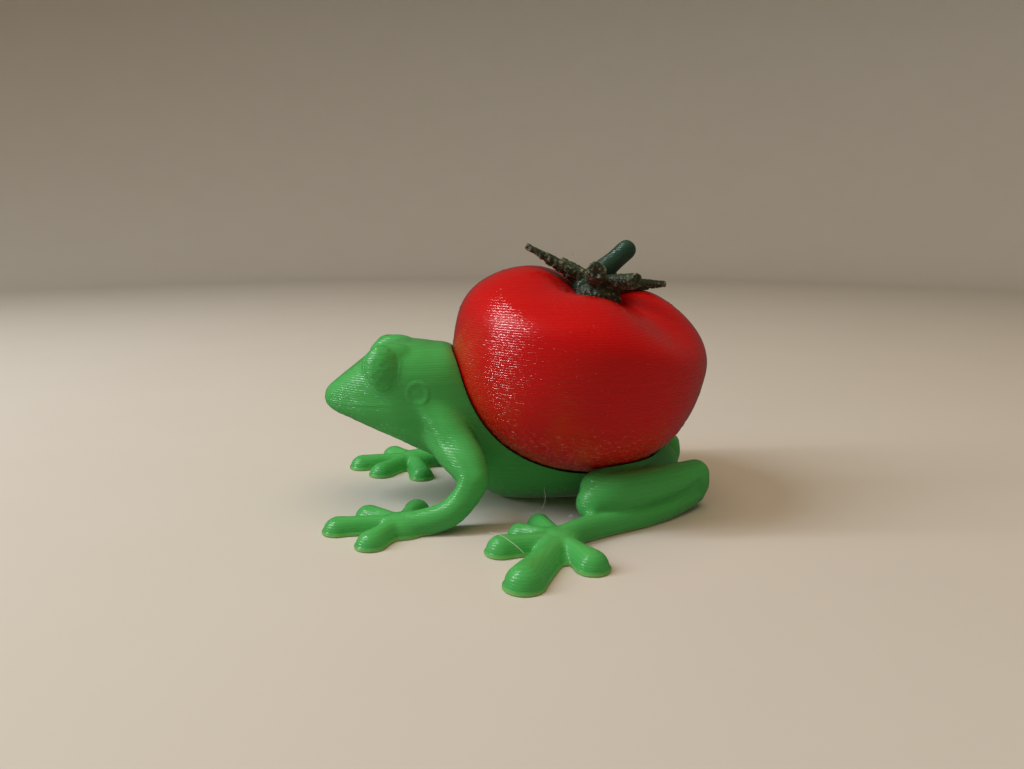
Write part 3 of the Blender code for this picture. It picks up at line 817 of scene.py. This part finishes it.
def grain(places, size, seed):
    """Smooth noise between -1 and 1 at each place, with lumps of about size mm."""
    lattice = np.random.default_rng(seed).uniform(-1.0, 1.0, (LATTICE,) * 3)
    scaled = places / size
    corner = np.floor(scaled).astype(int)
    part_way = scaled - corner
    part_way = part_way * part_way * (3.0 - 2.0 * part_way)
    total = np.zeros(len(places))
    for step in np.ndindex(2, 2, 2):
        weight = np.prod(np.where(step, part_way, 1.0 - part_way), axis=1)
        total += weight * lattice[tuple(((corner + step) % LATTICE).T)]
    return total


# The green print

def trunk_ring(row):
    """One cross-section of the trunk: widest at the lip line, narrower at the chin."""
    y, middle, width, above, below = row
    points = []
    for index in range(TRUNK_POINTS):
        angle = 2 * math.pi * index / TRUNK_POINTS
        across, up = math.cos(angle), math.sin(angle)
        reach = above if up > 0 else below
        power = 2 / (SQUARENESS_ABOVE if up > 0 else SQUARENESS_BELOW)
        x = width * math.copysign(abs(across) ** power, across)
        z = middle + reach * math.copysign(abs(up) ** power, up)
        points.append((x, y, z))
    return points


def add_toes(bm, palm, palm_radii, toes, pad_rise, side):
    """Add a domed palm and its toes, each a ridge that widens into a round pad."""
    root = mirrored((palm[0], palm[1], TOE_Z), side)
    add_ball(bm, root, palm_radii)
    for x, y, pad, stalk in toes:
        tip = mirrored((x, y, TOE_Z), side)
        along = (tip - root).normalized()
        aside = Vector((-along.y, along.x, 0.0))
        rings = []
        for share, flare, lift in TOE_SECTIONS:
            width = stalk + (pad - stalk) * flare
            height = TOE_RIDGE + (pad * pad_rise - TOE_RIDGE) * lift
            upward = Vector((0.0, 0.0, height))
            rings.append(circle(root.lerp(tip, share), aside * width, upward, 1.0))
        loft(bm, rings)
        add_ball(bm, tip, (pad, pad, pad * pad_rise))


def lip_line(places):
    """The mouth: a fine groove along the widest line of the snout, under a thin lip."""
    rows = np.array(TRUNK)
    middle = np.interp(places[:, 1], rows[:, 0], rows[:, 1])
    off = places[:, 2] - middle
    strength = ramp(places[:, 1], MOUTH_CORNER_Y, MOUTH_FULL_Y)
    lip = LIP_HEIGHT * bump(off - LIP_WIDTH, LIP_WIDTH)
    groove = -MOUTH_DEPTH * bump(off + MOUTH_WIDTH, MOUTH_WIDTH)
    return strength * (lip + groove)


def eye_rims(places):
    """A thin lid round each eye, the fold inside it, and the rough small dome."""
    off = places - np.array(EYE)
    off[:, 0] = np.abs(places[:, 0]) - EYE[0]
    outward = off[:, 0] * math.cos(EYE_TILT) + off[:, 2] * math.sin(EYE_TILT)
    upward = off[:, 2] * math.cos(EYE_TILT) - off[:, 0] * math.sin(EYE_TILT)
    # Out is 1 on the eye's own dome, and grows away from it.
    local = np.stack([outward, off[:, 1], upward], axis=1) / np.array(EYE_RADII)
    out = length(local)
    lower = ramp(places[:, 2], EYE[2] + 1.6, EYE[2] + 0.2)
    rim = lower * (LID_HEIGHT * bump(out - 1.15, 0.06)
                   - LID_FOLD_DEPTH * bump(out - 1.03, 0.05))
    # The steep small dome is laid in short strands that do not lie quite flush.
    strands = grain(places * np.array([1.0, 1.0, 1.4]), size=0.3, seed=9)
    return rim + EYE_UNEVENNESS * ramp(out, 1.1, 0.9) * strands


def eardrums(places):
    """A raised ring with a shallow dish inside, on each side of the head."""
    out = length(places[:, 1:] - np.array(EARDRUM[1:]))
    on_side = ramp(np.abs(places[:, 0]), 3.6, 4.2)
    ring = DRUM_RING_HEIGHT * bump(out - EARDRUM_RADIUS * 0.9, 0.14)
    dish = -DRUM_DISH_DEPTH * ramp(out, EARDRUM_RADIUS * 0.75, EARDRUM_RADIUS * 0.45)
    fold = -DRUM_FOLD_DEPTH * bump(out - EARDRUM_RADIUS * 1.2, 0.1)
    rough = DRUM_UNEVENNESS * ramp(out, EARDRUM_RADIUS * 1.2, EARDRUM_RADIUS)
    rough *= grain(places, size=0.3, seed=10)
    return on_side * (ring + dish + fold + rough)


def off_line(places, line):
    """How far each place is from a line on the left side, or from its mirror image."""
    left = np.abs(places[:, :1])
    places = np.concatenate([left, places[:, 1:]], axis=1)
    off = np.full(len(places), np.inf)
    for point in smooth_rows(line):
        off = np.minimum(off, length(places - np.array(point)))
    return off


def limb_lines(places):
    """The crest down each arm, and the crease where a folded leg lies on its own foot."""
    crest = CREST_HEIGHT * bump(off_line(places, ARM_CREST), CREST_WIDTH)
    crease = -CREASE_DEPTH * bump(off_line(places, FOLD), CREASE_WIDTH)
    return crest + crease


def frog_surface(places, normals):
    """All that the nozzle and the model add to the plain green skin."""
    raised = lip_line(places) + eye_rims(places) + eardrums(places) + limb_lines(places)
    # The first layer is squashed on the bed and stands out as a thin lip.
    foot = ramp(places[:, 2], 0.34, 0.16) * (1.0 - np.abs(normals[:, 2]))
    raised += SQUASHED_LAYER * foot
    # Layers sag a little where they hang over nothing.
    hanging = ramp(-normals[:, 2], 0.35, 0.8) * ramp(places[:, 2], 0.2, 0.5)
    raised += hanging * FROG_SAG * grain(places, size=0.4, seed=1)
    raised += FROG_WAVES * grain(places, size=1.6, seed=2)
    return raised


# The block that cuts off all that is below the floor: longer than the toy each way.
FLOOR_BLOCK = 60.0


def frog_print(material):
    """The whole frog in one skin, as it was printed."""
    bm = bmesh.new()
    loft(bm, [trunk_ring(row) for row in smooth_rows(TRUNK)])
    for side in (1, -1):
        for limb in LIMBS:
            add_limb(bm, limb, side)
        add_ball(bm, mirrored(FOOT_WEB, side), FOOT_WEB_RADII)
        add_ball(bm, mirrored(HEEL, side), HEEL_RADII)
        add_ball(bm, mirrored(BROW, side), BROW_RADII)
        add_toes(bm, HAND_PALM, HAND_PALM_RADII, HAND_TOES, HAND_PAD_RISE, side)
        add_toes(bm, FOOT_PALM, FOOT_PALM_RADII, FOOT_TOES, FOOT_PAD_RISE, side)
        add_ball(bm, mirrored(EYE, side), EYE_RADII, EYE_TILT * side)
    frog = add_object("frog_print", bm)
    one_skin(frog, FROG_VOXEL, FROG_FILLETS)
    for line, reach, rounds in BLENDS:
        blend_near(frog, line, reach, rounds)

    below = bmesh.new()
    bmesh.ops.create_cube(below, size=FLOOR_BLOCK,
                          matrix=Matrix.Translation((0, 0, -FLOOR_BLOCK / 2)))
    cut(frog, add_object("below_floor", below))
    cut(frog, tomato_body("cup", CUP_GAP, CUP_SEGMENTS, CUP_RINGS))
    sculpt(frog, frog_surface)
    dress(frog, material)
    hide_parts(*GREEN_NODES)


# The red print

def tomato_frame():
    """The tomato's own frame: its centre, leaned back."""
    return Matrix.Translation(TOMATO_CENTRE) @ Matrix.Rotation(-TOMATO_LEAN, 4, "X")


def tomato_point(down, around, extra):
    """A point of the tomato's skin: down from the stem end, around its axis."""
    rib = 0.5 + 0.5 * math.cos(LOBES * (around - LOBE_TURN))
    rib *= 1.0 - RIB_FADE * (1.0 - math.cos(around - RIBBED_SIDE))
    low_side = (0.5 + 0.5 * math.cos(around - LOW_SIDE_TURN)) ** 2
    ribbed = math.sin(down) * (0.5 + 0.5 * math.cos(down)) ** 2
    radius = (TOMATO_RADIUS + extra) * math.sin(down) ** TOMATO_SIDE_POWER
    radius *= 1.0 - LOBE_DEPTH * ribbed * rib
    above = down < math.pi / 2
    reach = TOMATO_RISE if above else -TOMATO_DROP
    height = reach + math.copysign(extra, reach)
    height *= abs(math.cos(down)) ** TOMATO_END_POWER
    shoulder = math.sin(down) * max(math.cos(down), 0.0) ** 1.5
    height -= shoulder * (LOBE_DROP * rib + LOW_SIDE_DROP * low_side)
    x, y = radius * math.cos(around), radius * math.sin(around)
    if above:
        out = math.hypot(x - DIMPLE_SHIFT[0], y - DIMPLE_SHIFT[1])
        height -= DIMPLE_DEPTH * math.exp(-(out / DIMPLE_RADIUS) ** 2)
    return Vector((x, y, height))


def tomato_body(name, extra, segments, ring_count):
    """The tomato, or the same shape grown by a gap for the cup that holds it."""
    bm = bmesh.new()
    rings = []
    for ring_index in range(1, ring_count):
        down = math.pi * ring_index / ring_count
        rings.append([tomato_point(down, 2 * math.pi * index / segments, extra)
                      for index in range(segments)])
    loft(bm, rings)
    bm.transform(tomato_frame())
    return add_object(name, bm)


def tomato_surface(places, normals):
    """Small zits where layers start, and sagging strands where the fruit overhangs."""
    hanging = ramp(-normals[:, 2], 0.38, 0.6) * ramp(-normals[:, 2], 0.98, 0.8)
    strands = grain(places * np.array([1.0, 1.0, 1.6]), size=0.27, seed=3)
    raised = hanging * TOMATO_SAG * strands
    dots = grain(places, size=0.22, seed=4)
    raised += TOMATO_ZITS * ramp(dots, 0.8, 0.9)
    raised += TOMATO_WAVES * grain(places, size=2.2, seed=5)
    return raised


def tomato_print(material):
    """The red fruit, printed upright in level layers like the frog."""
    fruit = tomato_body("tomato_print", 0.0, TOMATO_SEGMENTS, TOMATO_RINGS)
    sculpt(fruit, tomato_surface)
    dress(fruit, material)
    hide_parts("tomato")


# The dark green print

def sepal_rings(turn, reach, tip_height, tip_width, tip_thickness):
    """Cross-sections of one sepal, from its root out to its tip."""
    out = Vector((math.cos(turn), math.sin(turn), 0.0))
    aside = Vector((-out.y, out.x, 0.0))
    rings = []
    for step in range(SEPAL_STEPS + 1):
        share = step / SEPAL_STEPS
        width = SEPAL_HALF_WIDTH + (tip_width - SEPAL_HALF_WIDTH) * share ** 1.5
        depth = SEPAL_HALF_THICKNESS + (tip_thickness - SEPAL_HALF_THICKNESS) * share
        height = SEPAL_ROOT_Z + (tip_height - SEPAL_ROOT_Z) * share ** 1.3
        height += SEPAL_ARCH * math.sin(math.pi * share)
        along = SEPAL_ROOT_OUT + (reach - SEPAL_ROOT_OUT) * share
        centre = out * along + Vector((0.0, 0.0, height))
        rings.append(circle(centre, aside * width, Vector((0.0, 0.0, depth)), 1.0))
    return rings


def calyx_surface(places, normals):
    """Thin sepals print badly: torn edges, and loops that droop from undersides."""
    underside = ramp(-normals[:, 2], -0.2, 0.6)
    edge = 1.0 - np.abs(normals[:, 2])
    torn = grain(places, size=0.28, seed=6) + 0.6 * grain(places, size=0.16, seed=7)
    return torn * (TORN + TORN_EDGE * edge + TORN_UNDERSIDE * underside)


def calyx_print(material):
    """The collar with its sepals, seated in the dimple of the tomato."""
    bm = bmesh.new()
    add_ball(bm, Vector(CALYX_COLLAR), CALYX_COLLAR_RADII)
    for degrees, *sizes in SEPALS:
        loft(bm, sepal_rings(math.radians(degrees), *sizes))
    bm.transform(tomato_frame())
    leaves = add_object("calyx_print", bm)
    one_skin(leaves, CALYX_VOXEL, CALYX_FILLETS)
    sculpt(leaves, calyx_surface)
    dress(leaves, material)
    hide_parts("calyx")


def stem_surface(places, normals):
    """Faint steps and ripples of a thin leaning post."""
    return STEM_WAVES * grain(places, size=0.5, seed=8)


def stem_print(material):
    """The thick stem that leans back, with its blunt end."""
    bm = bmesh.new()
    add_limb(bm, STEM)
    bm.transform(tomato_frame())
    stalk = add_object("stem_print", bm)
    one_skin(stalk, CALYX_VOXEL, CALYX_FILLETS)
    sculpt(stalk, stem_surface)
    dress(stalk, material)
    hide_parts("stem")


def dress(item, material):
    """Shade a finished print smooth, give it its plastic and fix it to the toy."""
    item.data.materials.clear()
    item.data.materials.append(material)
    item.data.shade_smooth()
    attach(item, "root")


# Threads left by the nozzle

# Each thread is its name, the plastic that it is of, its radius and its path.
THREADS = [
    ("thread_crown", "red_pla", 0.015,
     [(0.0, 5.2, 22.0), (0.1, 5.05, 22.5), (0.0, 4.95, 23.0)]),
    ("thread_flank", "green_pla", 0.02,
     [(4.6, 2.3, 2.0), (6.4, 2.2, 1.55), (8.2, 1.7, 1.4), (9.4, 1.3, 1.75)]),
    ("thread_toe", "green_pla", 0.016,
     [(13.3, -2.9, 1.62), (14.3, -2.0, 1.72), (15.5, -1.1, 1.5), (16.2, -0.5, 1.15)]),
    ("thread_palm", "green_pla", 0.02,
     [(10.9, 3.6, 1.75), (11.3, 3.75, 2.05), (11.8, 3.7, 2.1)]),
]


def thread(name, radius, points, material):
    """One hair of plastic along a smooth path."""
    curve = bpy.data.curves.new(name, "CURVE")
    curve.dimensions = "3D"
    curve.bevel_depth = radius * MM
    curve.bevel_resolution = 2
    curve.use_fill_caps = True
    path = smooth_rows(points, THREAD_STEPS)
    spline = curve.splines.new("POLY")
    spline.points.add(len(path) - 1)
    for point, place in zip(spline.points, path):
        point.co = (*[value * MM for value in place], 1.0)
    curve.materials.append(material)
    item = place_in_scene(name, curve)
    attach(item, "root")


# Camera, light and floor

# The pale board is flat out to FLAT_REACH, and sweeps up beyond it with no edge.
BOARD_HALF_WIDTH = 520.0
FLAT_REACH = 280.0
SWEEP = 150.0
BOARD_SEGMENTS = 150
# The lights all face a point this high above the origin.
AIM_HEIGHT = 8.0


def camera():
    """The camera of the photograph: low, on the frog's left, looking slightly down."""
    right = Vector((-math.sin(CAMERA_ASIDE), math.cos(CAMERA_ASIDE), 0.0))
    level = Vector((-math.cos(CAMERA_ASIDE), -math.sin(CAMERA_ASIDE), 0.0))
    ahead = level * math.cos(CAMERA_DOWN) - Vector((0.0, 0.0, math.sin(CAMERA_DOWN)))
    up = right.cross(ahead)
    data = bpy.data.cameras.new("camera")
    data.lens = CAMERA_LENS
    data.sensor_width = CAMERA_SENSOR
    data.clip_start = 1.0 * MM
    item = place_in_scene("camera", data)
    turn = Matrix((right, up, -ahead)).transposed().to_4x4()
    item.matrix_world = Matrix.Translation(Vector(CAMERA_PLACE) * MM) @ turn
    bpy.context.scene.camera = item


def soft_light(name, place, size, power, tint):
    """A soft box that faces the toy; place and size in millimetres."""
    data = bpy.data.lights.new(name, "AREA")
    data.shape = "RECTANGLE"
    data.size, data.size_y = [value * MM for value in size]
    data.energy = power
    data.color = linear(tint)[:3]
    item = place_in_scene(name, data)
    item.location = Vector(place) * MM
    toward = Vector((0.0, 0.0, AIM_HEIGHT * MM)) - item.location
    item.rotation_mode = "QUATERNION"
    item.rotation_quaternion = toward.to_track_quat("-Z", "Y")
    return item


def studio():
    """A pale board, a broad window at the head side with a brighter strip, and fill."""
    bm = bmesh.new()
    bmesh.ops.create_grid(bm, x_segments=BOARD_SEGMENTS, y_segments=BOARD_SEGMENTS,
                          size=BOARD_HALF_WIDTH)
    for vert in bm.verts:
        out = max(math.hypot(vert.co.x, vert.co.y) - FLAT_REACH, 0.0)
        vert.co.z = out * out / SWEEP
    floor = add_object("floor", bm)
    floor.data.shade_smooth()
    floor.data.materials.append(pale_floor())
    floor.visible_glossy = False
    soft_light("window", (16.0, -205.0, 190.0), (105.0, 220.0), 0.26, "#f9fbff")
    soft_light("window_bright", (2.0, -206.0, 190.0), (20.0, 220.0), 0.28, "#f9fbff")
    ceiling = soft_light("ceiling", (10.0, 30.0, 330.0), (300.0, 300.0), 0.52, "#ffe3bd")
    # The ceiling is the room's dim glow: it lights the toy but leaves no gleam on it.
    ceiling.visible_glossy = False
    world = bpy.data.worlds.new("room")
    bpy.context.scene.world = world
    world.use_nodes = True
    sky = world.node_tree.nodes["Background"]
    sky.inputs["Color"].default_value = linear("#efe4d2")
    sky.inputs["Strength"].default_value = 0.08
    bpy.context.scene.view_settings.view_transform = "Standard"


def main():
    """Set the camera and light, then make the prints one by one."""
    camera()
    studio()
    frog_print(green_pla())
    tomato_print(red_pla())
    calyx_print(torn_dark_green_pla())
    stem_print(dark_green_pla())
    hair = loose_thread()
    for name, slot, radius, points in THREADS:
        thread(name, radius, points, hair)


main()
